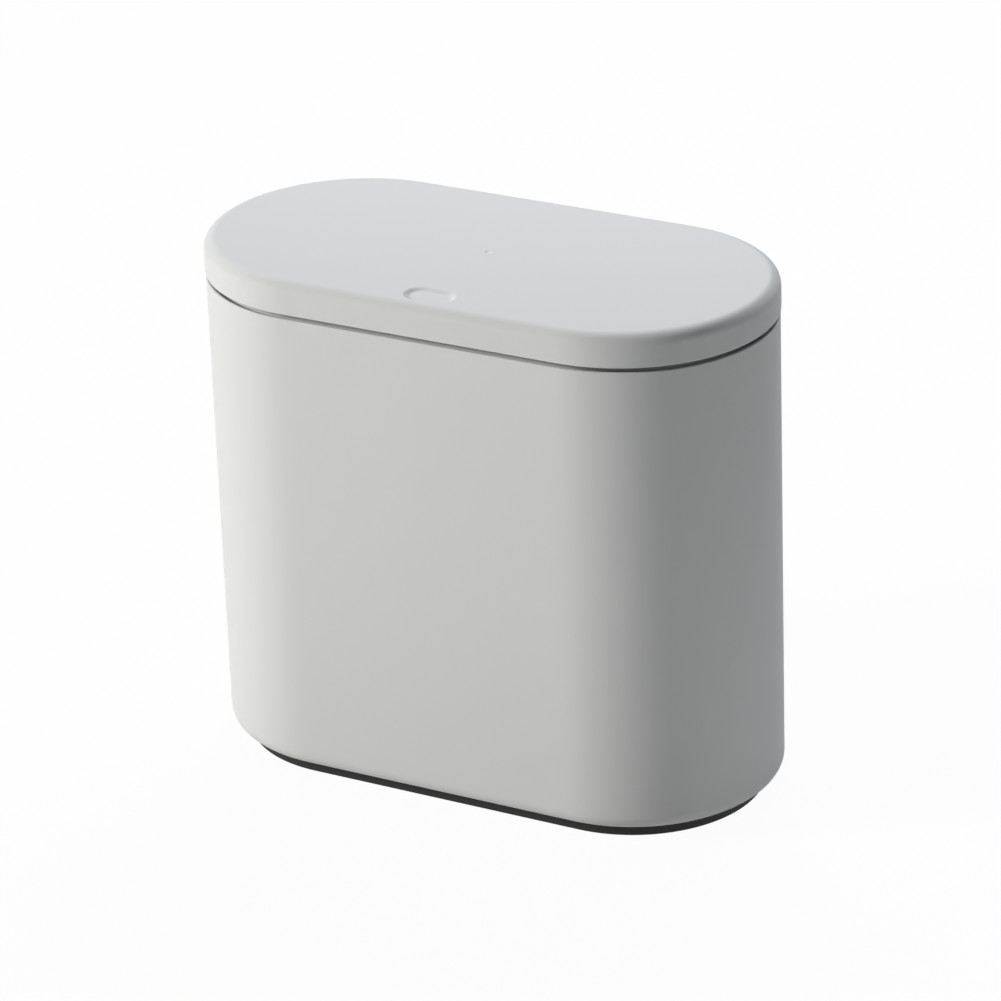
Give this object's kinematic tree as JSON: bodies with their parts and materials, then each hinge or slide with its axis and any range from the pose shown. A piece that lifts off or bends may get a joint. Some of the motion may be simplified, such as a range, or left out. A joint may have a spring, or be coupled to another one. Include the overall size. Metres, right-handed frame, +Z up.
{
  "type": "push top countertop bin",
  "caption": "Slim oval countertop bin with a black base, a lift-out bucket and frame, and a rounded push-to-open lid hinged at the back.",
  "frame": {"origin": "on the table, under the middle of the bin", "axes": "+Z up; +X along the bin's length; -Y is the front, where the lid is pressed; the hinge is at +Y"},
  "size_m": [0.22, 0.11, 0.2],
  "materials": {
    "body_plastic": "satin light grey moulded plastic",
    "lid_plastic": "satin light grey moulded plastic",
    "liner_plastic": "fine matt moulded plastic",
    "base_plastic": "satin black moulded plastic",
    "rubber": "matt rubber",
    "screw_steel": "zinc plated",
    "bucket_plastic": "satin moulded plastic",
    "ring_plastic": "satin mid grey moulded plastic",
    "frame_plastic": "satin light grey moulded plastic",
    "rod_steel": "ground steel rod",
    "plate_steel": "nickel plated sheet",
    "magnet_metal": "nickel plated magnet",
    "spring_steel": "drawn spring wire",
    "latch_plastic": "dark grey moulded plastic",
    "plunger_plastic": "off-white acetal"
  },
  "bodies": {
    "base": {"outer_body": "body_plastic", "base_plinth": "base_plastic", "foot_pads": "rubber", "base_screws": "screw_steel", "inner_bucket": "bucket_plastic", "bag_ring": "ring_plastic"},
    "frame": {"top_frame": "frame_plastic", "hinge_spine": "body_plastic", "spine_screws": "screw_steel", "torsion_spring_left": "spring_steel", "torsion_spring_right": "spring_steel", "latch_housing": "latch_plastic", "latch_cap": "latch_plastic", "latch_cam_pin": "rod_steel", "latch_screws": "screw_steel", "latch_spring": "spring_steel"},
    "rod": {"hinge_rod": "rod_steel"},
    "lid": {"lid_cover": "lid_plastic", "lid_liner": "liner_plastic", "lid_screws": "screw_steel", "lid_bumpers": "rubber", "striker_plate": "plate_steel", "striker_screws": "screw_steel"},
    "plunger": {"latch_plunger": "plunger_plastic", "latch_magnet": "magnet_metal"}
  },
  "joints": [
    {"name": "frame_lift", "type": "slide", "parent": "base", "child": "frame", "axis": [0, 0, 1], "range_m": [0, 0.06]},
    {"name": "lid_press", "type": "hinge", "parent": "frame", "child": "rod", "pos_m": [0, 0.051, 0.1916], "axis": [-1, 0, 0], "range_deg": [-0.6, 0], "stiffness_Nm_per_rad": 5, "springref_deg": 1.15},
    {"name": "lid_open", "type": "hinge", "parent": "rod", "child": "lid", "pos_m": [0, 0.051, 0.1916], "axis": [-1, 0, 0], "range_deg": [0, 85], "deforming": ["torsion_spring_left", "torsion_spring_right"]},
    {"name": "latch_travel", "type": "slide", "parent": "frame", "child": "plunger", "axis": [0, 0, 1], "range_m": [-0.00102, 0], "deforming": ["latch_spring"]}
  ],
  "couplings": [
    {"joint": "latch_travel", "follows": "lid_press", "m_per_rad": 0.094}
  ]
}
